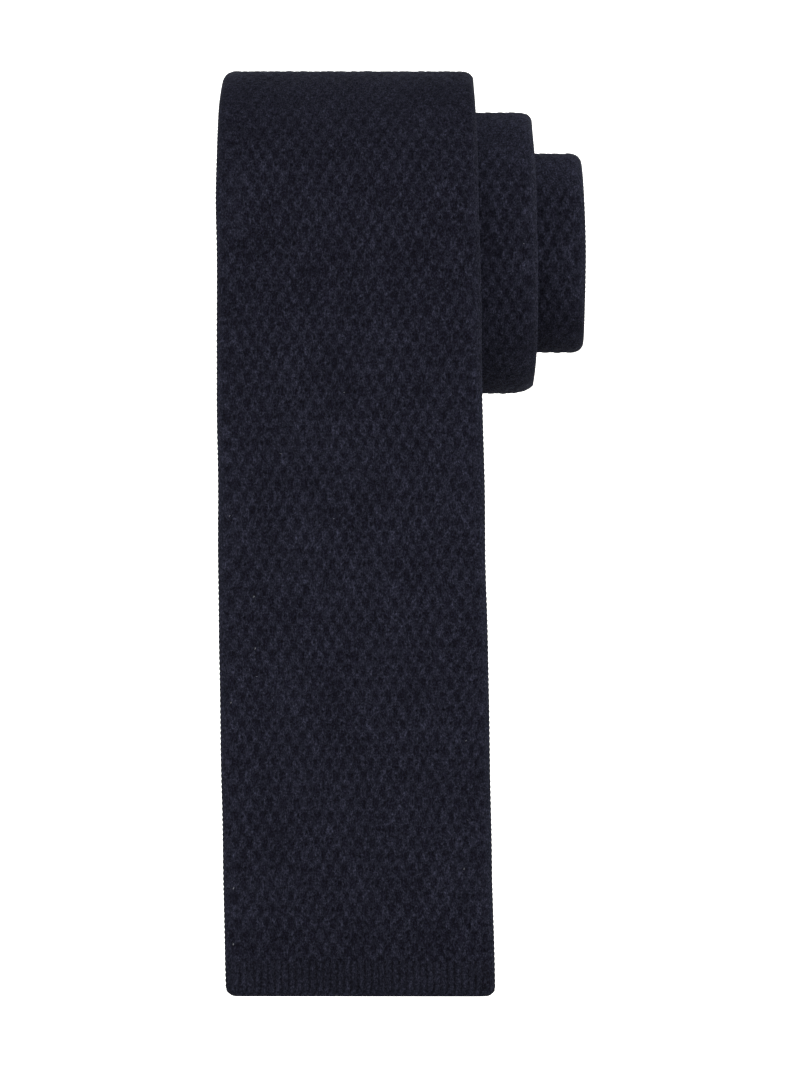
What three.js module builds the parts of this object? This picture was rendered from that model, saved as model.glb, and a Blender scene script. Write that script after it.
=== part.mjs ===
// Knit tie with a square tip: rolled up, the roll pulled out sideways in steps, the front blade hanging.
// Millimetres, +Z up. The front of the blade faces -Y, and the roll's axis lies along X through the origin.
import * as THREE from 'three';

// Lengths along the tie, from the square tip to the tail's end
const tieLength = 1480;
const hangLength = 168.4;
const frontLength = 640;
const neckLength = 320;
const hemDepth = 8;
const seamGap = 0.3;

// Widths of the flattened tube
const bladeWidth = 60;
const neckWidth = 38;
const tailWidth = 50;

// The cloth: two knitted layers, closed by a round fold at each side
const clothThickness = 2.8;
const sideFoldWidth = 1.6;
const tipCornerRadius = 2.1;
const tipEdgeThickness = 1.5;

// The roll: its open core, the air between turns, and how far its inner turns are pulled out
const coreRadius = 16.25;
const turnGap = 0.33;
const secondPull = 12.6;
const thirdPull = 11;
const tipSwing = 2.8;

// How finely the shape is cut
const stationsPerTurn = 32;
const hangStep = 24;
const sideFoldSteps = 4;
const leastCut = 0.3;
// Cuts that round off a free end, as shares of its corner radius
const cornerCuts = [0, 0.12, 0.4];

// Narrowing from the tip to the neck: share of the front's length, share of the extra width still there
const frontTaper = [
  { along: 0, wide: 1 },
  { along: 0.1, wide: 1 },
  { along: 0.16, wide: 0.985 },
  { along: 0.22, wide: 0.96 },
  { along: 0.28, wide: 0.94 },
  { along: 0.32, wide: 0.905 },
  { along: 0.5, wide: 0.68 },
  { along: 0.75, wide: 0.3 },
  { along: 1, wide: 0 },
];

// Widening from the neck to the tail's end, in the same way
const tailTaper = [
  { along: 0, wide: 0 },
  { along: 0.2, wide: 0.45 },
  { along: 0.45, wide: 0.92 },
  { along: 0.65, wide: 1 },
  { along: 1, wide: 1 },
];

// Steps of the roll, counted in turns inwards from where the blade leaves it
const rollSteps = [
  { frontTurn: 3, pull: secondPull },
  { frontTurn: 6, pull: thirdPull },
];
// Each step is taken on the roll's back, between these parts of a turn before it shows in front
const stepBegins = 0.72;
const stepEnds = 0.28;

// Colours, as the cloth shows them
const knitColour = 0x1f202b;
const hemColour = 0x23242f;

const turnPitch = clothThickness + turnGap;
const innerRadius = coreRadius + clothThickness / 2;
const rolledLength = tieLength - hangLength;
const outerRadius = Math.sqrt(innerRadius ** 2 + turnPitch * rolledLength / Math.PI);
const turnCount = (outerRadius - innerRadius) / turnPitch;

// Value of a table's column at a place along it
function tableValue(rows, place, key) {
  const last = rows.findIndex((row) => row.along >= place);
  if (last < 0) return rows[rows.length - 1][key];
  if (last === 0) return rows[0][key];
  const low = rows[last - 1];
  const high = rows[last];
  const share = (place - low.along) / (high.along - low.along);
  return THREE.MathUtils.lerp(low[key], high[key], share);
}

// Width of the tube at a distance from the tip
function widthAt(distance) {
  if (distance <= frontLength) {
    const wide = tableValue(frontTaper, distance / frontLength, 'wide');
    return THREE.MathUtils.lerp(neckWidth, bladeWidth, wide);
  }
  const tailStart = frontLength + neckLength;
  const wide = tableValue(tailTaper, (distance - tailStart) / (tieLength - tailStart), 'wide');
  return THREE.MathUtils.lerp(neckWidth, tailWidth, distance < tailStart ? 0 : wide);
}

// How far the right edge is pulled out at a turn of the roll
function pullAt(turn) {
  return rollSteps.reduce((sum, step) => {
    const share = THREE.MathUtils.smoothstep(turn, step.frontTurn - stepBegins, step.frontTurn - stepEnds);
    return sum + step.pull * share;
  }, 0);
}

// Distance from the tip at which a turn of the roll is reached
function distanceAtTurn(turn) {
  return hangLength + 2 * Math.PI * (outerRadius * turn - turnPitch * turn ** 2 / 2);
}

// A point of the middle line: distance from the tip, place in side view, outward direction, turn
function rollPoint(turn) {
  const angle = 2 * Math.PI * turn;
  const radius = outerRadius - turnPitch * turn;
  const outY = -Math.cos(angle);
  const outZ = Math.sin(angle);
  return { distance: distanceAtTurn(turn), y: radius * outY, z: radius * outZ, outY, outZ, turn };
}

// The whole middle line, from the tip up the hanging blade and round every turn
function middleLine() {
  const points = [];
  const hangSteps = Math.ceil(hangLength / hangStep);
  for (let i = 0; i < hangSteps; i += 1) {
    const distance = hangLength * i / hangSteps;
    points.push({ distance, y: -outerRadius, z: distance - hangLength, outY: -1, outZ: 0, turn: 0 });
  }
  for (let i = 0; i / stationsPerTurn < turnCount; i += 1) {
    points.push(rollPoint(i / stationsPerTurn));
  }
  points.push(rollPoint(turnCount));
  return points;
}

// A place between two points of the middle line, on the straight line that joins them
function placeAt(line, distance) {
  const reached = line.findIndex((point) => point.distance >= distance);
  const next = reached < 0 ? line.length - 1 : Math.max(1, reached);
  const low = line[next - 1];
  const high = line[next];
  const share = (distance - low.distance) / (high.distance - low.distance);
  const mix = (key) => THREE.MathUtils.lerp(low[key], high[key], share);
  const outSize = Math.hypot(mix('outY'), mix('outZ'));
  return {
    distance,
    y: mix('y'),
    z: mix('z'),
    outY: mix('outY') / outSize,
    outZ: mix('outZ') / outSize,
    turn: mix('turn'),
  };
}

// Outline of the flattened tube across its length: flat front and back, half-round side folds
function tubeSection(width, thickness) {
  const points = [];
  const fold = Math.min(sideFoldWidth, width / 2);
  for (const side of [1, -1]) {
    for (let i = 0; i <= sideFoldSteps; i += 1) {
      const angle = Math.PI * (i / sideFoldSteps - 0.5);
      const x = side * (width / 2 - fold + fold * Math.cos(angle));
      points.push({ x, out: side * thickness / 2 * Math.sin(angle) });
    }
  }
  return points;
}

// One ring of corners where the tube is cut across: the hanging blade keeps its middle at X 0, and the
// turns of each step of the roll keep their right edges in line
function ringAt(line, distance, width, thickness) {
  const place = placeAt(line, distance);
  const narrowing = (widthAt(hangLength) - widthAt(distance)) / 2;
  const middle = place.turn > 0 ? narrowing + pullAt(place.turn) : 0;
  const lean = -tipSwing * place.z / hangLength;
  return tubeSection(width, thickness).map(({ x, out }) => new THREE.Vector3(
    middle + lean + x,
    place.y + out * place.outY,
    place.z + out * place.outZ,
  ));
}

// Closed body from rings of corners: skin between rings, a flat cap at each end
function bodyFromRings(rings) {
  const count = rings[0].length;
  const positions = rings.flat().flatMap((corner) => corner.toArray());
  const triangles = [];
  for (let i = 0; i + 1 < rings.length; i += 1) {
    for (let j = 0; j < count; j += 1) {
      const a = i * count + j;
      const b = i * count + (j + 1) % count;
      triangles.push(a, b + count, b, a, a + count, b + count);
    }
  }
  const lastRing = (rings.length - 1) * count;
  for (let j = 1; j + 1 < count; j += 1) {
    triangles.push(0, j, j + 1);
    triangles.push(lastRing, lastRing + j + 1, lastRing + j);
  }
  const geometry = new THREE.BufferGeometry();
  geometry.setAttribute('position', new THREE.Float32BufferAttribute(positions, 3));
  geometry.setIndex(triangles);
  geometry.computeVertexNormals();
  return geometry;
}

// Distances at which a stretch of the tie is cut across
function cutsBetween(line, from, to) {
  const places = line.map((point) => point.distance);
  return [from, ...places.filter((d) => d > from + leastCut && d < to - leastCut), to];
}

// A plain stretch of the tie
function stretchRings(line, from, to) {
  return cutsBetween(line, from, to).map((d) => ringAt(line, d, widthAt(d), clothThickness));
}

// Extra cuts that round off a free end: corners face-on, and a thinner edge
function endRings(line, end, inward) {
  return cornerCuts.map((share) => {
    const depth = tipCornerRadius * share;
    const distance = end + inward * depth;
    const cornerDrop = tipCornerRadius - Math.sqrt(tipCornerRadius ** 2 - (tipCornerRadius - depth) ** 2);
    const edgeShare = Math.sin(Math.PI / 2 * share);
    const thickness = THREE.MathUtils.lerp(tipEdgeThickness, clothThickness, edgeShare);
    return ringAt(line, distance, widthAt(distance) - 2 * cornerDrop, thickness);
  });
}

// The plain band across the square tip
function frontHem(line) {
  const rounded = endRings(line, 0, 1);
  return bodyFromRings([...rounded, ...stretchRings(line, tipCornerRadius, hemDepth)]);
}

// The wide front part, hanging and then wound round the roll
function frontBlade(line) {
  return bodyFromRings(stretchRings(line, hemDepth + seamGap, frontLength));
}

// The narrow middle part
function neckBand(line) {
  return bodyFromRings(stretchRings(line, frontLength + seamGap, frontLength + neckLength));
}

// The rear part, wound round the open core
function tailBlade(line) {
  return bodyFromRings(stretchRings(line, frontLength + neckLength + seamGap, tieLength - hemDepth));
}

// The plain band across the tail's square end
function tailHem(line) {
  const rounded = endRings(line, tieLength, -1).reverse();
  const plain = stretchRings(line, tieLength - hemDepth + seamGap, tieLength - tipCornerRadius);
  return bodyFromRings([...plain, ...rounded]);
}

// A named piece with its finish
function piece(name, geometry, color) {
  const material = new THREE.MeshStandardMaterial({ color, roughness: 0.95, metalness: 0 });
  const mesh = new THREE.Mesh(geometry, material);
  mesh.name = name;
  return mesh;
}

const line = middleLine();
const tie = new THREE.Group();
tie.add(piece('front_hem', frontHem(line), hemColour));
tie.add(piece('front_blade', frontBlade(line), knitColour));
tie.add(piece('neck_band', neckBand(line), knitColour));
tie.add(piece('tail_blade', tailBlade(line), knitColour));
tie.add(piece('tail_hem', tailHem(line), hemColour));

export default tie;
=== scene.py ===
import math

import bpy
import numpy as np
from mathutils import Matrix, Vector


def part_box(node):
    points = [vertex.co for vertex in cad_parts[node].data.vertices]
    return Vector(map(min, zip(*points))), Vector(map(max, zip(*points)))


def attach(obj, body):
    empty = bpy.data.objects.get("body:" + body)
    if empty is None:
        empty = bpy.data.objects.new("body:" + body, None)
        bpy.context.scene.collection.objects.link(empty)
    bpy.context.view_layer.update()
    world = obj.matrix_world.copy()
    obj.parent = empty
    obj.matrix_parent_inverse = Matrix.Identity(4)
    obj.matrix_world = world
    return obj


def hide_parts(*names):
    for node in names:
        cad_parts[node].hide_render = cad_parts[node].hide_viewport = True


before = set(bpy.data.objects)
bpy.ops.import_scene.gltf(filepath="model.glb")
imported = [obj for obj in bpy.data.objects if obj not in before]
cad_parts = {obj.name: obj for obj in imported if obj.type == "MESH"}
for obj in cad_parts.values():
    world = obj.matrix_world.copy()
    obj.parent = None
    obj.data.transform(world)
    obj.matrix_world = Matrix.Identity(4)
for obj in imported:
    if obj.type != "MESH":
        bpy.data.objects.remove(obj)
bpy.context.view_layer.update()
mm = 0.001
print("frame loaded")

# The tie is one long flattened tube of knitted wool. Lengths are in mm, measured from the square tip.
hemLow, hemHigh = (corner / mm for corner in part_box("front_hem"))
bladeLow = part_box("front_blade")[0] / mm
tie = {
    "length": 1480.0,
    "frontLength": 640.0,
    "neckLength": 320.0,
    "bladeWidth": 60.0,
    "neckWidth": 38.0,
    "tailWidth": 50.0,
    "thickness": hemHigh.y - hemLow.y,
    "hang": -hemLow.z,  # below the roll's axis
    "hemDepth": hemHigh.z - hemLow.z,
    "turnGap": 0.33,
    "cornerRadius": 2.1,  # at the square ends
    "backShift": 61.3,  # so that the stitches of the tube's two layers don't line up
}
# The round fold at each side of the tube slopes off more on its outer face, which is pulled in round the roll
edge = {
    "frontFold": 2.8,  # mm in from the side where the outer face starts to slope off
    "backFold": 1.1,  # the same for the inner face
    "level": -0.5,  # where the side's outermost line lies, as a share of half the thickness
    "arc": 4.3,  # mm round the fold
    "darker": 0.22,  # mm of painted shade on the plain wales
    "smoothStrip": 1.35,  # mm of plain edge wales beside the stitches
    "stripBlend": 0.4,  # mm either way over which the one turns into the other
}
# height above the roll's axis, how far to the right the cloth has swung there
swing = [(-168.4, 2.86), (-142, 2.15), (-115, 1.67), (-89, 1.15),
         (-62, 0.76), (-35, 0.36), (0, 0), (40, -1.05)]
pitch = tie["thickness"] + tie["turnGap"]
outerRadius = -bladeLow.y - tie["thickness"] / 2
tailStart = tie["frontLength"] + tie["neckLength"]

# share of the front's length, share of its extra width that is left there
frontTaper = [(0, 1), (0.1, 1), (0.16, 0.985), (0.22, 0.96), (0.28, 0.94),
              (0.32, 0.905), (0.5, 0.68), (0.75, 0.3), (1, 0)]
# the same from the neck to the tail's end
tailTaper = [(0, 0), (0.2, 0.45), (0.45, 0.92), (0.65, 1), (1, 1)]

# The roll, with its inner turns pulled out to the right in steps. Depths of painted shade and painted light,
# and of the darkening near the tip, work on the colour alone.
roll = {
    "steps": [(3, 13.1), (6, 11.05)],  # turn at which a step shows in front, mm that it is pulled out
    "stepBegins": 0.72,  # turns before that, where the cloth starts to move over
    "stepEnds": 0.28,
    "tuckIn": 0.35,  # mm that the right edges draw in under the roll
    "tuckTurns": (1.6, 2.4),  # turns over which that sets in
    "tuckWidth": 12,  # mm from the tube's middle to where it is whole
    "tuckCurve": 3,  # the higher, the closer it keeps to the bottom of the roll
    "bendFrom": (0.4, 0.95),  # how steeply the face looks up or down, as a sine, where the bend sets in
    "flatter": 0.65,  # share of the stitch depth that the bend over the top and under the roll takes away
    "paintedBendShade": 0.16,  # mm of painted shade on the bends under the roll and over the first turn's top, more on a tight one
    "paintedBendLight": 0.07,  # mm of painted light on the tops of the inner steps, more on a tight one
    "paintedRollFrontShade": 0.08,  # mm of painted shade on the blade where it goes round the front of the roll
    "rollFrontShadeFrom": (-45, -10),  # mm above the roll's axis over which that begins
    "rollFrontShadeTurns": (0.2, 0.3),  # turns over which it ends
    "tipDarkening": 0.08,  # mm of depth by which the colour is darker near the tip
    "tipDarkeningDepth": (10, 24),  # mm from the tip over which that fades
}
# Under the roll, the middle step's right edge is squeezed thinner, which rounds its corner
squeeze = {
    "thinner": 1.35,  # mm off its outer face
    "starts": -6,  # mm from the side fold
    "curve": 3,  # the higher, the more it keeps to the very edge
    "turns": (2.45, 2.7),
    "endTurns": (3.0, 3.2),
    "narrower": 0.4,  # mm that the fold is pushed in by
    "narrowCurve": 4,
}
# Small irregular moves of the cloth
drape = {
    "sag": 0.35,  # mm that the hanging blade bows in and out
    "sagBelow": (6, 60),  # mm below the roll's axis over which that sets in
    "sagAcross": 0.6,  # mm along its waves for each mm across the blade
    "wander": 0.07,  # mm that the edges wander
    "wanderAcross": 0.15,  # the same for the edges' waves
}


def smoothShare(value, low, high):
    share = np.clip((value - low) / (high - low), 0, 1)
    return share * share * (3 - 2 * share)


def widthAt(distance):
    front = np.interp(distance / tie["frontLength"], *zip(*frontTaper))
    tail = np.interp((distance - tailStart) / (tie["length"] - tailStart), *zip(*tailTaper))
    wide = tie["neckWidth"] + (tie["bladeWidth"] - tie["neckWidth"]) * front
    return wide + (tie["tailWidth"] - tie["neckWidth"]) * tail


def turnAt(distance):
    wound = np.maximum(distance - tie["hang"], 0)
    return (outerRadius - np.sqrt(outerRadius**2 - pitch * wound / math.pi)) / pitch


def distanceAtTurn(turn):
    return tie["hang"] + 2 * math.pi * (outerRadius * turn - pitch * turn**2 / 2)


def softWaves(seed, count, shortest, longest):
    # a smooth irregular field over the cloth, made of a few crossing waves
    rng = np.random.default_rng(seed)
    angle = rng.uniform(0, 2 * math.pi, count)
    number = 2 * math.pi / rng.uniform(shortest, longest, count)
    phase = rng.uniform(0, 2 * math.pi, count)

    def field(u, v):
        total = 0
        for a, k, p in zip(angle, number, phase):
            total = total + np.sin(k * (math.cos(a) * u + math.sin(a) * v) + p)
        return total / math.sqrt(count)

    return field


edgeWander = softWaves(seed=3, count=7, shortest=14, longest=60)
bladeSag = softWaves(seed=5, count=5, shortest=60, longest=160)


def placeOnTie(distance, across, out):
    # from cloth coordinates to metres: across from the middle of the tube, out from its middle layer
    turn = turnAt(distance)
    angle = 2 * math.pi * turn
    radius = outerRadius - pitch * turn
    hangs = np.minimum(distance - tie["hang"], 0)
    outY = -np.cos(angle)
    outZ = np.sin(angle)
    free = smoothShare(-hangs, *drape["sagBelow"])
    sag = drape["sag"] * free * bladeSag(distance, across * drape["sagAcross"])
    y = (radius + out + sag) * outY
    z = (radius + out) * outZ + hangs
    pull = sum(step * smoothShare(turn, at - roll["stepBegins"], at - roll["stepEnds"])
               for at, step in roll["steps"])
    narrowing = (widthAt(np.float64(tie["hang"])) - widthAt(distance)) / 2
    tucked = roll["tuckIn"] * smoothShare(turn, *roll["tuckTurns"])
    tucked = tucked * np.clip(-outZ, 0, 1) ** roll["tuckCurve"] * (across > 0)
    middle = np.where(turn > 0, narrowing + pull, 0) - tucked * smoothShare(across, 0, roll["tuckWidth"])
    wander = drape["wander"] * edgeWander(distance, across * drape["wanderAcross"])
    x = middle + across + np.interp(z, *zip(*swing)) + wander
    return np.stack([x, y, z], axis=-1) * mm


# Body stitch: rows of raised loops with gaps between them, every second row moved over by half
bodyStitch = {
    "repeat": 3.0,  # mm from loop to loop in a row, two wales
    "rowPitch": 2.97,  # mm from row to row
    "loops": [(0, 0.5), (0.5, 1.5)],  # where the tile's two loops lie, in repeats across and rows along
    "tileStep": 0.05,
    "yarn": 0.31,  # yarn radius
    "gapFloor": -0.50,  # how far the gaps go in below the tube's nominal face
    "soften": 0.09,  # mm over which fuzz rounds off the yarns
    "warp": 0.26,  # mm that the rows and wales stray
    "lift": 0.04,  # mm that patches of cloth rise or sink
    "placeScatter": 0.17,  # mm that each loop strays by itself
    "crestScatter": 0.18,  # mm that it is lifted or sunk
    "crestLimits": (-2, 0.6),  # the deepest and highest draws, before scatter
    "drawn": (128, 1024),  # loops across and rows along with a draw of their own
    "seed": 21,
}
# One loop and the gap beside it, charted: where each yarn runs, in mm from the loop's middle
loopChart = {
    "ringAcross": 0.56,
    "ringAlong": 0.70,
    "ringCrest": 0.03,
    "ringTilt": 0.09,
    "ringTiltAt": 2.3,  # radians round the ring to its highest point
    "ringPoints": 49,
    "underAlong": 1.24,
    "overAlong": 1.73,
    "strandSway": 0.07,
    "strandCrest": -0.22,
    "strandRise": 0.12,
    "strandPoints": 61,
    "legFrom": (0.30, 0.55, 0.0),  # across, along, crest
    "legTo": (0.55, 1.25, -0.2),
    "legPoints": 12,
    "floorAlong": -0.55,
    "floorSway": 0.1,
    "floorCrest": -0.36,
}


def yarnPaths():
    # each path is a row of points, as across, along and crest
    c = loopChart
    angle = np.linspace(0, 2 * math.pi, c["ringPoints"])
    tilt = c["ringCrest"] + c["ringTilt"] * np.cos(angle - c["ringTiltAt"])
    ring = np.stack([c["ringAcross"] * np.sin(angle), c["ringAlong"] * np.cos(angle), tilt], axis=1)
    across = np.linspace(-bodyStitch["repeat"] / 2, bodyStitch["repeat"] / 2, c["strandPoints"])
    swell = np.cos(2 * math.pi * across / bodyStitch["repeat"])
    sway = c["strandSway"] * swell
    rise = c["strandRise"] * swell
    under = np.stack([across, c["underAlong"] - sway, c["strandCrest"] + rise], axis=1)
    over = np.stack([across, c["overAlong"] - sway, c["strandCrest"] - rise], axis=1)
    floorAlong = c["floorAlong"] + c["floorSway"] * swell
    floor = np.stack([across, floorAlong, c["floorCrest"] + 0 * across], axis=1)
    share = np.linspace(0, 1, c["legPoints"])[:, None]
    legs = []
    for side in (-1, 1):
        for way in (-1, 1):
            flip = np.array([side, way, 1])
            legs.append((1 - share) * flip * c["legFrom"] + share * flip * c["legTo"])
    return [ring, under, over, floor] + legs


def stitchTile():
    # heights of the face over one repeat and two rows
    s = bodyStitch
    wide = s["repeat"]
    long = 2 * s["rowPitch"]
    columns = round(wide / s["tileStep"])
    rows = round(long / s["tileStep"])
    gridU = (np.arange(columns) / columns)[:, None] * wide
    gridV = (np.arange(rows) / rows)[None, :] * long
    height = np.full((columns, rows), s["gapFloor"])
    for path in yarnPaths():
        for moveU, moveV in s["loops"]:
            for u, v, crest in path:
                du = (gridU - u - moveU * wide + wide / 2) % wide - wide / 2
                dv = (gridV - v - moveV * s["rowPitch"] + long / 2) % long - long / 2
                apart = np.hypot(du, dv) / s["yarn"]
                top = crest + s["yarn"] * (np.sqrt(np.clip(1 - apart**2, 0, 1)) - 1)
                height = np.where(apart < 1, np.maximum(height, top), height)
    # round off, as fuzz does
    waveU = np.fft.fftfreq(columns, s["tileStep"])[:, None]
    waveV = np.fft.fftfreq(rows, s["tileStep"])[None, :]
    soft = np.exp(-2 * (math.pi * s["soften"]) ** 2 * (waveU**2 + waveV**2))
    return np.fft.ifft2(np.fft.fft2(height) * soft).real


# Hem stitch: fine plain rib
hemStitch = {
    "wale": 1.54,  # mm from rib to rib
    "course": 1.2,  # mm from row to row
    "ribDepth": 0.44,
    "ribSharpness": 1.5,  # the higher, the narrower the grooves
    "courseDepth": 0.12,
    "lean": 0.35,  # share of a course that the sides of a stitch lean by
    "crest": 0.02,
    "warp": 0.10,
}
# The round fold at each side shows plain wales: columns of small V stitches, one of them on the fold's line
foldStitch = {
    "wale": 1.5,
    "course": 1.2,
    "lean": 0.7,  # mm along for each mm off the wale's line
    "depth": 0.15,
    "groove": 0.13,
    "grooveFrom": 0.4,  # mm off the wale's line
    "crest": 0.14,
    "warp": 0.12,
}
warpAcross = softWaves(seed=11, count=9, shortest=5, longest=22)
warpAlong = softWaves(seed=12, count=9, shortest=5, longest=22)
liftWaves = softWaves(seed=13, count=9, shortest=4, longest=30)
# a draw for each loop, across, along and for its crest
loopDraws = np.random.default_rng(bodyStitch["seed"]).normal(0, 1, (3, *bodyStitch["drawn"]))
bodyTile = stitchTile()


def bodyRelief(u, v):
    s = bodyStitch
    u, v = u + s["warp"] * warpAcross(u, v), v + s["warp"] * warpAlong(u, v)
    row = np.floor(v / s["rowPitch"])
    shifted = u / s["repeat"] + (row % 2) * 0.5 + 0.5
    cell = np.floor(shifted)
    drawnCells, drawnRows = s["drawn"]
    drawAcross, drawAlong, drawCrest = (
        draws[cell.astype(int) % drawnCells, row.astype(int) % drawnRows] for draws in loopDraws
    )
    # each loop is moved and lifted a little by itself, and its edges stay joined to its neighbours
    fromMiddle = shifted - cell - 0.5
    fromRow = v / s["rowPitch"] - row - 0.5
    own = np.cos(math.pi * fromMiddle) ** 2 * np.cos(math.pi * fromRow) ** 2
    u = u + s["placeScatter"] * drawAcross * own
    v = v + s["placeScatter"] * drawAlong * own
    lifted = s["crestScatter"] * own * np.clip(drawCrest, *s["crestLimits"])
    columns, rows = bodyTile.shape
    atU = u / s["repeat"] * columns
    atV = v / (2 * s["rowPitch"]) * rows
    lowU = np.floor(atU).astype(int)
    lowV = np.floor(atV).astype(int)
    shareU = atU - lowU
    shareV = atV - lowV
    height = 0
    for stepU, weightU in ((0, 1 - shareU), (1, shareU)):
        for stepV, weightV in ((0, 1 - shareV), (1, shareV)):
            height = height + weightU * weightV * bodyTile[(lowU + stepU) % columns, (lowV + stepV) % rows]
    return height + lifted + s["lift"] * liftWaves(u, v)


def hemRelief(u, v):
    s = hemStitch
    u = u + s["warp"] * warpAcross(u, v)
    v = v + s["warp"] * warpAlong(u, v)
    rib = np.abs(np.sin(math.pi * u / s["wale"]))
    lean = s["lean"] * s["course"] * np.sin(2 * math.pi * u / s["wale"])
    course = 0.5 + 0.5 * np.cos(2 * math.pi * (v + lean) / s["course"])
    return s["crest"] - s["ribDepth"] * (1 - rib) ** s["ribSharpness"] - s["courseDepth"] * (1 - course)


def foldRelief(aside, v):
    s = foldStitch
    v = v + s["warp"] * warpAlong(aside, v)
    fromWale = np.abs((aside / s["wale"] + 0.5) % 1 - 0.5) * s["wale"]
    course = 0.5 - 0.5 * np.cos(2 * math.pi * (v + s["lean"] * fromWale) / s["course"])
    groove = smoothShare(fromWale, s["grooveFrom"], s["wale"] / 2)
    return s["crest"] - s["depth"] * course - s["groove"] * groove


def foldArc(share, wide, level, deep):
    # the side fold from the front face (share 0) round to the back face (1): how far out sideways, how far
    # out, and the two parts of the way that the face looks
    frontHalf = share < 0.5
    angle = math.pi * share
    reach = np.where(frontHalf, wide[0], wide[1])
    rise = np.where(frontHalf, deep - level, deep + level)
    sideways = reach * np.sin(angle) - np.where(frontHalf, 0, wide[1] - wide[0])
    return sideways, level + rise * np.cos(angle), np.sin(angle) / reach, np.cos(angle) / rise


def sectionOf(loop, flat, thickness):
    # a place round the tube: across, out, the face's direction, and how much of it is side fold
    half = flat / 2
    deep = thickness / 2
    level = edge["level"] * deep
    backHalf = half + edge["frontFold"] - edge["backFold"]
    arc = edge["arc"]
    onFront = loop <= flat
    onBack = (loop > flat + arc) & (loop <= flat + arc + 2 * backHalf)
    onLeft = ~onFront & (loop <= flat + arc)
    leftShare = np.clip((loop - flat) / arc, 0, 1)
    rightShare = 1 - np.clip((loop - flat - arc - 2 * backHalf) / arc, 0, 1)
    wide = (edge["frontFold"], edge["backFold"])
    leftSide, leftOut, leftFaceAcross, leftFaceOut = foldArc(leftShare, wide, level, deep)
    rightSide, rightOut, rightFaceAcross, rightFaceOut = foldArc(rightShare, wide, level, deep)
    flatFace = 1 + 0 * loop
    parts = [onFront, onLeft, onBack]
    acrossParts = [half - loop, -half - leftSide, -backHalf + loop - flat - arc]
    across = np.select(parts, acrossParts, half + rightSide)
    out = np.select(parts, [deep * flatFace, leftOut, -deep * flatFace], rightOut)
    faceAcross = np.select(parts, [0 * flatFace, -leftFaceAcross, 0 * flatFace], rightFaceAcross)
    faceOut = np.select(parts, [flatFace, leftFaceOut, -flatFace], rightFaceOut)
    size = np.hypot(faceAcross, faceOut)
    fromEdge = half + edge["frontFold"] - np.abs(across)
    stripLow = edge["smoothStrip"] - edge["stripBlend"]
    stripHigh = edge["smoothStrip"] + edge["stripBlend"]
    return across, out, faceAcross / size, faceOut / size, 1 - smoothShare(fromEdge, stripLow, stripHigh)


leastStep = 0.25  # share of a step that the last place of a stretch keeps from its end


def columnsOf(panel, rows):
    # places round the tube for every row, kept in line with the right edge, so that wales run straight
    flat = (panel["width"](rows) - 2 * edge["frontFold"])[:, None]
    thickness = panel["thick"](rows)[:, None]
    arc = edge["arc"]
    flatBack = flat + 2 * (edge["frontFold"] - edge["backFold"])
    reach = float(flat.min())

    def fromRight(stretches):
        places = []
        at = 0.0
        for end, step in stretches:
            end = min(end, reach)
            if end > at:
                places.append(np.arange(at, end - step * leastStep, step))
                at = end
        return np.concatenate(places)

    front = fromRight(panel["front"])[None, :]
    back = fromRight(panel["back"])[None, ::-1]
    backLoop = flat + arc + flatBack - back
    # where the tube is wider than at its narrowest row, the extra cloth lies on the left
    start = front[:, -1:] + 0 * flat
    extraFront, extraBack = panel["extra"]
    toFold = start + (flat - start) * (np.arange(1, extraFront + 1) / extraFront)[None, :]
    fromFold = flat + arc + (backLoop[:, :1] - flat - arc) * (np.arange(extraBack) / extraBack)[None, :]
    fold = arc * (np.arange(1, panel["foldSteps"]) / panel["foldSteps"])[None, :]
    places = [front + 0 * flat, toFold, flat + fold, fromFold, backLoop, flat + arc + flatBack + fold]
    return np.concatenate(places, axis=1), flat, thickness


def squeezedEdge(turn, across, out, half, deep):
    s = squeeze
    under = np.clip(-np.sin(2 * math.pi * turn), 0, 1) ** 2
    under = under * smoothShare(turn, *s["turns"]) * (1 - smoothShare(turn, *s["endTurns"]))
    outerShare = np.clip((out / deep - edge["level"]) / (1 - edge["level"]), 0, 1)
    edgeShare = np.clip((across - half - s["starts"]) / (edge["frontFold"] - s["starts"]), 0, 1)
    foldShare = smoothShare(across, half, half + edge["frontFold"])
    out = out - s["thinner"] * under * outerShare * edgeShare ** s["curve"]
    across = across - s["narrower"] * under ** s["narrowCurve"] * foldShare
    return across, out


def shadeOf(turn, v, side, bent):
    # the plain edge wales, finer yarn lying flat, get painted shade that takes the colour ramp's painted
    # crest light off them, so they show as dark as the cloth between its loops
    shade = edge["darker"] * side
    # painted shade on the bends under the roll and over the first turn's top, and painted light on the tops
    # of the inner steps, both stronger on a tighter turn
    tightness = outerRadius / (outerRadius - pitch * turn)
    shadedBend = (np.sin(2 * math.pi * turn) < 0) | (turn < 1)
    shade = shade + tightness * bent * np.where(shadedBend, roll["paintedBendShade"], -roll["paintedBendLight"])
    # the drawn share marks where painted shade lies on the blade over the front of the roll
    drawn = smoothShare(v - tie["hang"], *roll["rollFrontShadeFrom"]) * (1 - smoothShare(turn, *roll["rollFrontShadeTurns"]))
    # the colour is darker near the tip
    nearTip = 1 - smoothShare(v, *roll["tipDarkeningDepth"])
    return shade + roll["paintedRollFrontShade"] * drawn + roll["tipDarkening"] * nearTip


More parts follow.
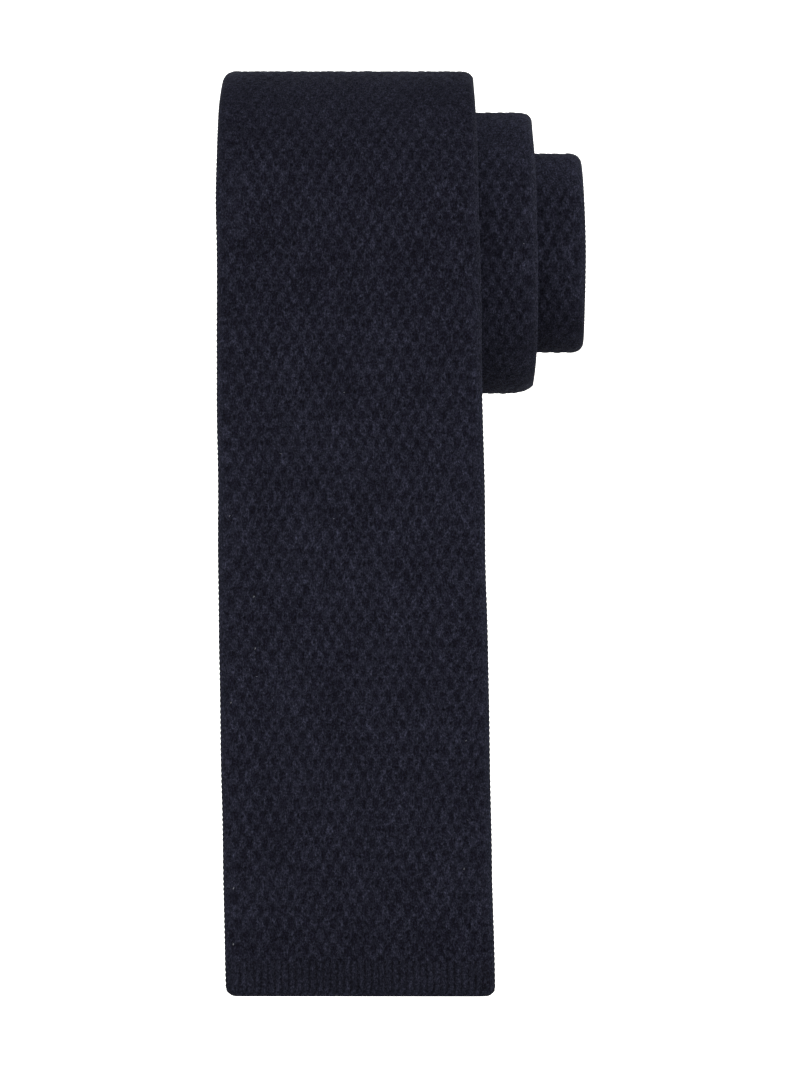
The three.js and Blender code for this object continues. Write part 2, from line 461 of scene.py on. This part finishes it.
def knitSurface(panel, rows):
    # points, depth less the painted shade and light that colour it, place round the tube, place along it, and
    # where each point lies on the flat cloth
    loop, flat, thickness = columnsOf(panel, rows)
    v = rows[:, None] + 0 * loop
    across, out, faceAcross, faceOut, side = sectionOf(loop, flat, thickness)
    halfArc = edge["arc"] / 2
    u = np.where(loop <= flat + halfArc, loop, loop + tie["backShift"])
    roundTube = 2 * (flat + edge["arc"] + edge["frontFold"] - edge["backFold"])
    fromLeft = np.abs(loop - flat - halfArc)
    fromRight = np.abs(roundTube - halfArc - loop)
    aside = np.minimum(np.minimum(fromLeft, fromRight), loop + halfArc)
    height = panel["relief"](u, v) * (1 - side) + foldRelief(aside, v) * side
    turn = turnAt(v)
    across, out = squeezedEdge(turn, across, out, flat / 2, thickness / 2)
    steepness = np.abs(np.sin(2 * math.pi * turn))
    bent = np.where(turn > 0, smoothShare(steepness, *roll["bendFrom"]), 0)
    height = height * panel["reliefShare"](v) * (1 - roll["flatter"] * bent)
    points = placeOnTie(v, across + height * faceAcross, out + height * faceOut)
    laidFlat = np.stack([across + 0 * v, out, v], axis=-1) * mm
    return points, height - shadeOf(turn, v, side, bent), loop, v, laidFlat


def rowPlaces(stretches):
    places = [np.arange(low, high - step * leastStep, step) for low, high, step in stretches]
    return np.concatenate(places + [[stretches[-1][1]]])


def volumeOf(points, quads):
    flat = points.reshape(-1, 3)
    a, b, c, d = (flat[quads[:, k]] for k in range(4))
    return ((a * np.cross(b, c)).sum() + (a * np.cross(c, d)).sum()) / 6


cloth = {
    "beyondEnd": 0.2,  # mm past a panel's ends, where the cloth is taken too so that normals carry on
    "uvPerMm": 0.01,
    "leastLength": 1e-12,  # so that no normal is divided by nothing
}


def clothPiece(name, panel, material):
    rows = rowPlaces(panel["rows"])
    padded = np.concatenate([[rows[0] - cloth["beyondEnd"]], rows, [rows[-1] + cloth["beyondEnd"]]])
    padded = np.clip(padded, 0, tie["length"])
    points, height, loop, v, laidFlat = knitSurface(panel, padded)
    alongTie = points[2:] - points[:-2]
    roundTube = np.roll(points, -1, axis=1) - np.roll(points, 1, axis=1)
    normals = np.cross(alongTie, roundTube[1:-1])
    normals /= np.maximum(np.linalg.norm(normals, axis=2, keepdims=True), cloth["leastLength"])
    normals = normals.reshape(-1, 3)
    points, height, loop, v, laidFlat = (grid[1:-1] for grid in (points, height, loop, v, laidFlat))

    rowCount, columnCount = height.shape
    i, j = np.meshgrid(np.arange(rowCount - 1), np.arange(columnCount), indexing="ij")
    nextJ = (j + 1) % columnCount
    low = i * columnCount
    high = (i + 1) * columnCount
    quads = np.stack([low + j, low + nextJ, high + nextJ, high + j], axis=-1).reshape(-1, 4)
    caps = [np.arange(columnCount)[::-1], np.arange(columnCount) + (rowCount - 1) * columnCount]
    # a place round the tube for each quad's corners, carried on past the end at the last column
    loopSize = (2 * loop[:, -1] - loop[:, -2])[:, None]
    around = np.concatenate([loop, loopSize], axis=1)
    corners = [(i, j), (i, j + 1), (i + 1, j + 1), (i + 1, j)]
    uv = np.stack([np.stack([around[a, b], v[a, 0]], axis=-1) for a, b in corners], axis=2).reshape(-1, 2)
    if volumeOf(points, quads) < 0:
        quads = quads[:, ::-1]
        uv = uv.reshape(-1, 4, 2)[:, ::-1].reshape(-1, 2)
        caps = [cap[::-1] for cap in caps]
    a, b, c = (points.reshape(-1, 3)[quads[:, k]] for k in (0, 1, 3))
    if (np.cross(b - a, c - a) * normals[quads[:, 0]]).sum() < 0:
        normals = -normals

    quadCount = len(quads)
    loops = np.concatenate([quads.ravel()] + caps)
    starts = np.concatenate([np.arange(quadCount) * 4, [quadCount * 4, quadCount * 4 + columnCount]])
    totals = np.concatenate([np.full(quadCount, 4), [columnCount, columnCount]])
    mesh = bpy.data.meshes.new(name)
    mesh.vertices.add(rowCount * columnCount)
    mesh.loops.add(len(loops))
    mesh.polygons.add(len(totals))
    mesh.vertices.foreach_set("co", points.astype(np.float32).ravel())
    mesh.loops.foreach_set("vertex_index", loops.astype(np.int32))
    mesh.polygons.foreach_set("loop_start", starts.astype(np.int32))
    mesh.polygons.foreach_set("loop_total", totals.astype(np.int32))
    mesh.update(calc_edges=True)
    layer = mesh.uv_layers.new(name="clothPlace")
    uv = np.concatenate([uv, np.zeros((2 * columnCount, 2))]) * cloth["uvPerMm"]
    layer.data.foreach_set("uv", uv.astype(np.float32).ravel())
    relief = mesh.attributes.new("relief", "FLOAT", "POINT")
    relief.data.foreach_set("value", height.astype(np.float32).ravel())
    flatPlace = mesh.attributes.new("laidFlat", "FLOAT_VECTOR", "POINT")
    flatPlace.data.foreach_set("vector", laidFlat.astype(np.float32).ravel())
    mesh.polygons.foreach_set("use_smooth", np.ones(len(totals), bool))
    mesh.normals_split_custom_set_from_vertices(normals.tolist())
    mesh.materials.append(material)
    piece = bpy.data.objects.new(name, mesh)
    bpy.context.scene.collection.objects.link(piece)
    print(name, "made,", 2 * quadCount, "triangles")
    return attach(piece, "root") or piece


def linear(hexColour):
    # sRGB hex to linear RGBA, by the standard's own curve
    parts = [int(hexColour[k:k + 2], 16) / 255 for k in (1, 3, 5)]
    return tuple(p / 12.92 if p <= 0.04045 else ((p + 0.055) / 1.055) ** 2.4 for p in parts) + (1.0,)


def addNode(tree, kind, settings=None, links=None):
    # settings by attribute or by input name, links from sockets to inputs by name or number
    node = tree.nodes.new(kind)
    for key, value in (settings or {}).items():
        if hasattr(node, key):
            setattr(node, key, value)
        else:
            node.inputs[key].default_value = value
    for key, source in (links or {}).items():
        tree.links.new(source, node.inputs[key])
    return node


# Brushed wool, spun in several plies and dyed navy: matt, with pale fibre bundles painted bright on a dark
# ground as fine glints, painted deep shade in the gaps, and a faint halo where the cloth turns away
woolKnit = {
    # the colour ramp paints shade and light by depth: the dark hollow colour is painted shade in the gaps,
    # the pale crest colour painted light on the raised yarn
    "shade": "#252632",
    "crest": "#2c2d3b",
    "hollow": "#1b1b26",
    "shadeAt": 0.5,  # share of the way from hollow to crest
    "hollowDepth": -0.5,  # mm, where the painted shade is deepest
    "crestDepth": 0.1,
    "roughness": 0.9,
    "ior": 1.54,
    "specular": 0.04,
    "sheen": "#8f96b4",
    "sheenWeight": 0.12,
    "sheenRoughness": 0.3,
    "tuft": 0.5,  # mm, tufts of fibres that shade the yarn
    "tuftContrast": (0.45, 1.55),
    "tuftHeight": 0.16,  # mm
    "cloud": 7.0,  # mm, slow drift of the dye and nap
    "cloudContrast": (0.90, 1.10),
    "spotDetail": 2.0,
    "spotRoughness": 0.7,
    "spotRange": (0.32, 0.68),  # of the noise, from the darkest to the palest spots
    # wool fibres are 0.02 mm thick, too fine to show, so bundles of them are drawn, longer along the cloth
    "fibre": 0.42,  # mm between bundles
    "fibreLength": 2.6,  # times as long as wide
    "fibreCurl": 0.7,
    "fibreDetail": 1.0,
    # the bundles are painted paler than the wool, standing in for the glints of light on fibres
    "fibreDark": 0.74,
    "fibreBright": 2.1,
    "fibreMiddle": 0.5,  # of the noise, where a bundle lies
    "fibreWidth": 0.055,
    "fibreHeight": 0.06,  # mm
    "bump": 1.0,
}
# The same wool in the plain rib of the hems, a little darker and more even
ribWool = dict(woolKnit, hollow="#1a1a23", shade="#21222d", crest="#272835", tuftContrast=(0.5, 1.5))


def woolKnitMaterial(name, look):
    material = bpy.data.materials.new(name)
    material.use_nodes = True
    tree = material.node_tree
    tree.nodes.clear()
    output = addNode(tree, "ShaderNodeOutputMaterial")
    # the colour follows the relief attribute: painted shade in deep places and painted light on raised ones,
    # with the painted shades of shadeOf taken off
    relief = addNode(tree, "ShaderNodeAttribute", {"attribute_name": "relief"})
    place = addNode(tree, "ShaderNodeAttribute", {"attribute_name": "laidFlat"}).outputs["Vector"]
    depth = addNode(tree, "ShaderNodeMapRange",
                    {"From Min": look["hollowDepth"], "From Max": look["crestDepth"]},
                    {"Value": relief.outputs["Fac"]})
    colour = addNode(tree, "ShaderNodeValToRGB", {}, {"Fac": depth.outputs["Result"]})
    colour.color_ramp.elements[0].color = linear(look["hollow"])
    colour.color_ramp.elements[1].color = linear(look["crest"])
    colour.color_ramp.elements.new(look["shadeAt"]).color = linear(look["shade"])

    # tufts and the drift of the dye are soft spots
    noises = []
    shades = []
    spotLow, spotHigh = look["spotRange"]
    for size, contrast in ((look["tuft"], look["tuftContrast"]), (look["cloud"], look["cloudContrast"])):
        noise = addNode(tree, "ShaderNodeTexNoise",
                        {"Scale": 1 / (size * mm), "Detail": look["spotDetail"],
                         "Roughness": look["spotRoughness"]},
                        {"Vector": place})
        spots = addNode(tree, "ShaderNodeMapRange",
                        {"From Min": spotLow, "From Max": spotHigh,
                         "To Min": contrast[0], "To Max": contrast[1]},
                        {"Value": noise.outputs["Fac"]})
        noises.append(noise.outputs["Fac"])
        shades.append(spots.outputs["Result"])

    # fibres are thin curling lines, where a stretched noise crosses its middle, painted pale as glints of
    # light
    stretched = addNode(tree, "ShaderNodeMapping", {"Scale": (1, 1, 1 / look["fibreLength"])},
                        {"Vector": place})
    strands = addNode(tree, "ShaderNodeTexNoise",
                      {"Scale": 1 / (look["fibre"] * mm), "Detail": look["fibreDetail"],
                       "Distortion": look["fibreCurl"]},
                      {"Vector": stretched.outputs["Vector"]})
    lines = addNode(tree, "ShaderNodeValToRGB", {}, {"Fac": strands.outputs["Fac"]})
    lines.color_ramp.elements[0].position = look["fibreMiddle"] - look["fibreWidth"]
    lines.color_ramp.elements[1].position = look["fibreMiddle"] + look["fibreWidth"]
    lines.color_ramp.elements[1].color = linear("#000000")
    lines.color_ramp.elements.new(look["fibreMiddle"]).color = linear("#ffffff")
    fibreShade = addNode(tree, "ShaderNodeMapRange",
                         {"To Min": look["fibreDark"], "To Max": look["fibreBright"]},
                         {"Value": lines.outputs["Color"]})

    spotted = addNode(tree, "ShaderNodeMath", {"operation": "MULTIPLY"}, {0: shades[0], 1: shades[1]})
    shade = addNode(tree, "ShaderNodeMath", {"operation": "MULTIPLY"},
                    {0: spotted.outputs["Value"], 1: fibreShade.outputs["Result"]})
    tinted = addNode(tree, "ShaderNodeVectorMath", {"operation": "SCALE"},
                     {"Vector": colour.outputs["Color"], "Scale": shade.outputs["Value"]})
    tufts = addNode(tree, "ShaderNodeBump", {"Strength": look["bump"], "Distance": look["tuftHeight"] * mm},
                    {"Height": noises[0]})
    fuzz = addNode(tree, "ShaderNodeBump", {"Strength": look["bump"], "Distance": look["fibreHeight"] * mm},
                   {"Height": lines.outputs["Color"], "Normal": tufts.outputs["Normal"]})
    wool = addNode(tree, "ShaderNodeBsdfPrincipled",
                   {"Roughness": look["roughness"], "IOR": look["ior"],
                    "Specular IOR Level": look["specular"], "Sheen Weight": look["sheenWeight"],
                    "Sheen Roughness": look["sheenRoughness"], "Sheen Tint": linear(look["sheen"])},
                   {"Base Color": tinted.outputs["Vector"], "Normal": fuzz.outputs["Normal"]})
    tree.links.new(wool.outputs["BSDF"], output.inputs["Surface"])
    return material


bodyWool = woolKnitMaterial("tuckStitchWool", woolKnit)
hemWool = woolKnitMaterial("plainRibWool", ribWool)
print("wool materials made")


def everywhere(v):
    return np.ones_like(v)


def clothThickness(rows):
    return np.full_like(rows, tie["thickness"])


def roundedEnd(rows, end):
    radius = tie["cornerRadius"]
    depth = np.clip(np.abs(rows - end), 0, radius)
    return radius - np.sqrt(np.maximum(radius**2 - (radius - depth) ** 2, 0))


# What a panel has unless it says otherwise. Rows are stretches: from, to, mm from row to row. Front and back
# are stretches too: mm from the right edge to where each ends, mm from column to column.
wholeWidth = 90  # mm, more than any panel has
plainPanel = {
    "width": widthAt,
    "thick": clothThickness,
    "front": [(wholeWidth, 0.3)],
    "back": [(wholeWidth, 0.6)],
    "extra": (1, 1),  # columns in front and behind for what is wider than the narrowest row
    "foldSteps": 14,
    "relief": bodyRelief,
    "reliefShare": everywhere,
}
# The hems across the square ends, where the cloth rounds off to a thin edge
tip = {
    "roundOff": 1.1,  # mm from the end to full thickness
    "thinnest": 0.3,  # share of the thickness at the very end
    "reliefDepth": 0.8,  # mm from the end to full relief
    "rows": [(0, 0.3, 0.06), (0.3, 1.2, 0.15)],  # mm from the end, to, and from row to row
    "rowsEnd": 1.2,
    "frontRow": 0.24,  # mm from row to row over the rest of the front hem
    "tailRow": 0.3,
    "extra": (10, 6),
}


def tipPanel(node, rows, end, front, back):
    def width(rows):
        return widthAt(rows) - 2 * roundedEnd(rows, end)

    def thick(rows):
        share = np.clip(np.abs(rows - end) / tip["roundOff"], 0, 1)
        return tie["thickness"] * (tip["thinnest"] + (1 - tip["thinnest"]) * np.sqrt(1 - (1 - share) ** 2))

    def reliefShare(v):
        return smoothShare(np.abs(v - end), 0.0, tip["reliefDepth"])

    return dict(plainPanel, node=node, rows=rows, width=width, thick=thick, reliefShare=reliefShare,
                relief=hemRelief, extra=tip["extra"], front=[(wholeWidth, front)], back=[(wholeWidth, back)])


def turnStretch(fromTurn, toTurn, step):
    return (distanceAtTurn(fromTurn), distanceAtTurn(toTurn), step)


hem = tie["hemDepth"]
hang = tie["hang"]
end = tie["length"]
middleHang = hem + (hang - hem) / 2
fineRow = 0.3
hiddenStep = 6.0  # mm between places that no view reaches
hidden = [(wholeWidth, hiddenStep)]
panels = {
    "bladeKnitLower": {
        "node": "front_blade",
        "rows": [(hem, middleHang, fineRow)],
        "liesOn": "bladeKnitUpper",
        "hem": "frontHemKnit",
    },
    "bladeKnitUpper": {
        "node": "front_blade",
        "rows": [(middleHang, hang, fineRow)],
        "liesOn": "bladeKnitOverTop",
    },
    "bladeKnitOverTop": {
        "node": "front_blade",
        "rows": [turnStretch(0, 0.3, fineRow)],
        "back": [(45, hiddenStep), (wholeWidth, 1.0)],
        "liesOn": "neck_band",
    },
    "bladeKnitRoundBack": {
        "node": "front_blade",
        "rows": [turnStretch(0.3, 1.0, 0.44)],
        "front": [(wholeWidth, 0.44)],
        "back": hidden,
        "extra": (24, 12),
        "liesOn": "neck_band",
    },
    "bladeKnitInside": {
        "node": "front_blade",
        "rows": [(distanceAtTurn(1.0), tie["frontLength"], 0.5)],
        "front": hidden,
        "back": hidden,
        "extra": (3, 12),
        "liesOn": "neck_band",
    },
    "neckKnit": {
        "node": "neck_band",
        "rows": [(tie["frontLength"], distanceAtTurn(2.3), 0.45), turnStretch(2.3, 3.4, 0.36),
                 (distanceAtTurn(3.4), tailStart, 0.45)],
        "front": [(15, 0.36), (wholeWidth, hiddenStep)],
        "back": hidden,
        "liesOn": "tail_blade",
    },
    "tailKnitMiddle": {
        "node": "tail_blade",
        "rows": [(tailStart, distanceAtTurn(5.3), 0.5)],
        "front": hidden,
        "back": hidden,
        "extra": (2, 12),
        "liesOn": "neck_band",
    },
    "tailKnitOuter": {
        "node": "tail_blade",
        "rows": [turnStretch(5.3, 6.35, 0.38)],
        "front": [(13, 0.36), (wholeWidth, hiddenStep)],
        "back": [(37, hiddenStep), (wholeWidth, 1.0)],
        "liesOn": "neck_band",
    },
    "tailKnitInner": {
        "node": "tail_blade",
        "rows": [(distanceAtTurn(6.35), end - hem, 0.45)],
        "front": hidden,
        "back": [(wholeWidth, 0.5)],
        "liesOn": "tailKnitOuter",
        "hem": "tailHemKnit",
    },
}
frontRows = tip["rows"] + [(tip["rowsEnd"], hem, tip["frontRow"])]
tailRows = [(end - far, end - near, step) for near, far, step in reversed(tip["rows"])]
tailRows = [(end - hem, end - tip["rowsEnd"], tip["tailRow"])] + tailRows
frontTip = tipPanel("front_hem", frontRows, 0, front=0.22, back=0.36)
tailTip = tipPanel("tail_hem", tailRows, end, front=1.0, back=0.36)

made = {"frontHemKnit": (clothPiece("frontHemKnit", frontTip, hemWool), frontTip, "ribbed_knit")}
for name, panel in panels.items():
    made[name] = (clothPiece(name, dict(plainPanel, **panel), bodyWool), panel, "body_knit")
made["tailHemKnit"] = (clothPiece("tailHemKnit", tailTip, hemWool), tailTip, "ribbed_knit")

for piece, panel, slotName in made.values():
    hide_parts(panel["node"])
    if "liesOn" not in panel:
        continue

# Cotton lint, a few short fibres that cling to the front: matt, and much paler than the wool
lint = {
    "colour": "#a9abb4",
    "roughness": 0.8,
    "radius": 0.055,  # mm
    "endShare": 0.2,  # of the radius, left at the ends
    "rise": 0.16,  # mm above the tube's nominal face
    "bend": 0.9,  # radians from end to end
    "sides": 5,
    "stations": 6,
    "seed": 8,
    # distance from the tip, distance from the right edge, length
    "places": [
        (23.9, 58.0, 0.75), (27.2, 15.7, 0.65), (89.0, 52.1, 0.6), (120.9, 45.1, 0.6), (39.3, 5.0, 0.6),
        (77.4, 52.0, 0.6), (11.4, 58.2, 0.6), (28.3, 6.4, 0.55), (71.4, 52.0, 0.5), (65.4, 57.6, 0.45),
        (57.0, 5.5, 0.45), (107.1, 57.2, 0.45), (134.7, 31.0, 0.4), (106.6, 34.0, 0.4), (838.0, 2.9, 0.55),
    ],
}


def lintFibres():
    rng = np.random.default_rng(lint["seed"])
    points = []
    faces = []
    sides = lint["sides"]
    stations = lint["stations"]
    around = 2 * math.pi * np.arange(sides) / sides
    along = np.linspace(-0.5, 0.5, stations)
    for distance, fromRight, length in lint["places"]:
        heading = rng.uniform(0, math.pi) + lint["bend"] * along
        walk = np.stack([np.cumsum(np.cos(heading)), np.cumsum(np.sin(heading))], axis=1) * length / stations
        v = distance + walk[:, 1]
        across = widthAt(v) / 2 - fromRight + walk[:, 0]
        start = len(points) * sides
        for k in range(stations):
            thin = lint["radius"] * max(math.sqrt(1 - (2 * along[k]) ** 2), lint["endShare"])
            side = across[k] + thin * np.cos(around)
            out = tie["thickness"] / 2 + lint["rise"] + thin * np.sin(around)
            points.append(placeOnTie(np.full(sides, v[k]), side, out))
        for k in range(stations - 1):
            low = start + k * sides
            for j in range(sides):
                nextJ = (j + 1) % sides
                faces.append((low + j, low + nextJ, low + sides + nextJ, low + sides + j))
        faces.append(tuple(range(start, start + sides))[::-1])
        faces.append(tuple(range(start + (stations - 1) * sides, start + stations * sides)))
    mesh = bpy.data.meshes.new("lintFibres")
    mesh.from_pydata(np.concatenate(points).tolist(), [], faces)
    material = bpy.data.materials.new("paleCottonLint")
    material.use_nodes = True
    shader = material.node_tree.nodes["Principled BSDF"]
    shader.inputs["Base Color"].default_value = linear(lint["colour"])
    shader.inputs["Roughness"].default_value = lint["roughness"]
    mesh.materials.append(material)
    fibres = bpy.data.objects.new("lintFibres", mesh)
    bpy.context.scene.collection.objects.link(fibres)
    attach(fibres, "root")


lintFibres()
print("lint made")

# Seamless matt paper: a pale round floor that curves up on all sides and is lit from within further out, most
# of all behind the tie. Sizes are in m.
studio = {
    "floorZ": -0.30,
    "middleRadius": 0.1,
    "flatRadius": 1.8,
    "ringStep": 0.05,
    "bendRadius": 1.0,
    "bendRings": 25,
    "top": 1.8,
    "segments": 64,
    "paper": "#dcdcda",
    "roughness": 0.9,
    "glowColour": "#ffffff",
    "glow": 1.15,
    "glowStarts": 0.8,
    "glowFull": 1.38,
    "frontGlow": 0.4,  # share of the glow in front of the tie
    "frontReach": 1,  # m in front of and behind the tie over which the share changes
}


def paperSweep():
    s = studio
    bend = np.linspace(0, math.pi / 2, s["bendRings"])
    glowRadii = np.arange(s["glowStarts"], s["flatRadius"], s["ringStep"])
    flatRadii = np.concatenate([[s["middleRadius"]], glowRadii])
    bendRadii = s["flatRadius"] + s["bendRadius"] * np.sin(bend)
    radii = np.concatenate([flatRadii, bendRadii, [s["flatRadius"] + s["bendRadius"]]])
    heights = np.concatenate([0 * flatRadii, s["bendRadius"] * (1 - np.cos(bend)), [s["top"]]]) + s["floorZ"]
    count = s["segments"]
    radius = np.repeat(radii, count)
    angle = np.tile(2 * math.pi * np.arange(count) / count, len(radii))
    points = np.stack([radius * np.cos(angle), radius * np.sin(angle), np.repeat(heights, count)], axis=1)
    faces = [tuple(range(count))]
    for ring in range(len(radii) - 1):
        low = ring * count
        high = low + count
        for k in range(count):
            nextK = (k + 1) % count
            faces.append((low + k, high + k, high + nextK, low + nextK))
    mesh = bpy.data.meshes.new("paperSweep")
    mesh.from_pydata(points.tolist(), [], faces)
    mesh.polygons.foreach_set("use_smooth", np.ones(len(mesh.polygons), bool))
    behind = smoothShare(points[:, 1], -s["frontReach"], s["frontReach"])
    share = s["frontGlow"] + (1 - s["frontGlow"]) * behind
    glow = mesh.attributes.new("glow", "FLOAT", "POINT")
    glow.data.foreach_set("value", s["glow"] * share * smoothShare(radius, s["glowStarts"], s["glowFull"]))
    material = bpy.data.materials.new("litPaper")
    material.cycles.emission_sampling = "NONE"  # it is so large that bounced light finds it
    material.use_nodes = True
    tree = material.node_tree
    strength = addNode(tree, "ShaderNodeAttribute", {"attribute_name": "glow"})
    shader = tree.nodes["Principled BSDF"]
    shader.inputs["Base Color"].default_value = linear(s["paper"])
    shader.inputs["Roughness"].default_value = s["roughness"]
    shader.inputs["Emission Color"].default_value = linear(s["glowColour"])
    tree.links.new(strength.outputs["Fac"], shader.inputs["Emission Strength"])
    mesh.materials.append(material)
    sweep = bpy.data.objects.new("paperSweep", mesh)
    bpy.context.scene.collection.objects.link(sweep)


paperSweep()
print("paper set up")

# Soft studio light: an even white surround, and wide boxes above and in front. Places and sizes are in m.
lights = {
    "topBox": {"place": (0.1, 0.25, 1.3), "aim": (0, 0, 0), "size": 0.8, "watts": 0.8},
    "frontBox": {"place": (0.3, -1.65, 0.95), "aim": (0, 0, -0.07), "size": 0.9, "watts": 12.0},
}
surround = {"colour": "#ffffff", "strength": 0.2}
for name, box in lights.items():
    data = bpy.data.lights.new(name, "AREA")
    data.shape = "SQUARE"
    data.size = box["size"]
    data.energy = box["watts"]
    lamp = bpy.data.objects.new(name, data)
    lamp.location = box["place"]
    lamp.rotation_mode = "QUATERNION"
    lamp.rotation_quaternion = (Vector(box["aim"]) - Vector(box["place"])).to_track_quat("-Z", "Y")
    bpy.context.scene.collection.objects.link(lamp)
world = bpy.data.worlds.new("whiteSurround")
world.use_nodes = True
world.node_tree.nodes["Background"].inputs["Color"].default_value = linear(surround["colour"])
world.node_tree.nodes["Background"].inputs["Strength"].default_value = surround["strength"]
bpy.context.scene.world = world
bpy.context.scene.view_settings.view_transform = "Standard"

# Camera straight in front, as far off as the photo's mild perspective needs. Distances are in m.
view = {
    "distance": 1.5,  # from the front of the blade
    "framedHeight": 0.238,  # of the blade's plane that the picture's height takes in
    "rightOfMiddle": 0.0116,
    "belowRollAxis": 0.06505,
    "sensorWidth": 36,  # mm
    "farthest": 20,
}
camera = bpy.data.cameras.new("photoView")
camera.sensor_width = view["sensorWidth"]
camera.lens = camera.sensor_width * view["distance"] / view["framedHeight"]
camera.clip_end = view["farthest"]
cameraObject = bpy.data.objects.new("photoView", camera)
cameraObject.location = (view["rightOfMiddle"], bladeLow.y * mm - view["distance"], -view["belowRollAxis"])
cameraObject.rotation_euler = (math.pi / 2, 0, 0)
bpy.context.scene.collection.objects.link(cameraObject)
bpy.context.scene.camera = cameraObject
print("studio and camera set")
